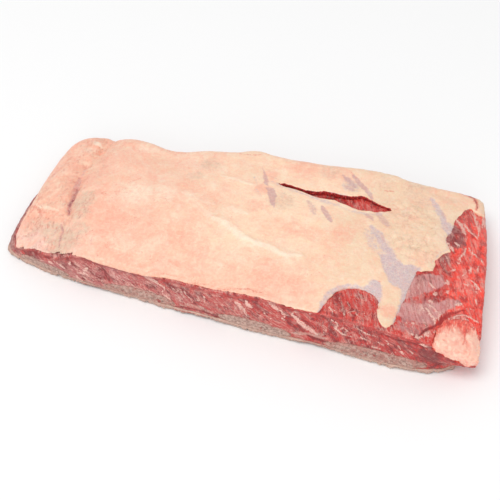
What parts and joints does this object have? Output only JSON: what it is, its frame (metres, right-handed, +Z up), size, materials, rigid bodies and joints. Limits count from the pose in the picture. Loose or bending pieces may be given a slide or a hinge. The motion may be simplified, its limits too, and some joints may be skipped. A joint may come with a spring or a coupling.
{
  "type": "beef spare ribs",
  "caption": "Raw slab of beef spare ribs: lean meat over sawn rib bones, under a fat cap with a slit and a trimmed right end.",
  "frame": {"origin": "middle of the slab's footprint, on the surface it lies on", "axes": "+X along the slab towards the trimmed lean end, +Y from the front sawn face to the back one, +Z up out of the fat cap"},
  "size_m": [0.312, 0.15, 0.0327],
  "materials": {
    "lean": "moist raw muscle, dark red with white marbling",
    "fat": "moist satin fat, pinkish to cream",
    "corner_fat": "moist pale pink fat",
    "skin": "thin pale membrane over the bone side",
    "bone": "sawn porous bone, matt"
  },
  "bodies": {
    "root": {"lean_meat": "lean", "fat_cap": "fat", "corner_fat": "corner_fat", "bone_side_skin": "skin", "rib_1": "bone", "rib_2": "bone", "rib_3": "bone", "rib_4": "bone"}
  },
  "joints": []
}
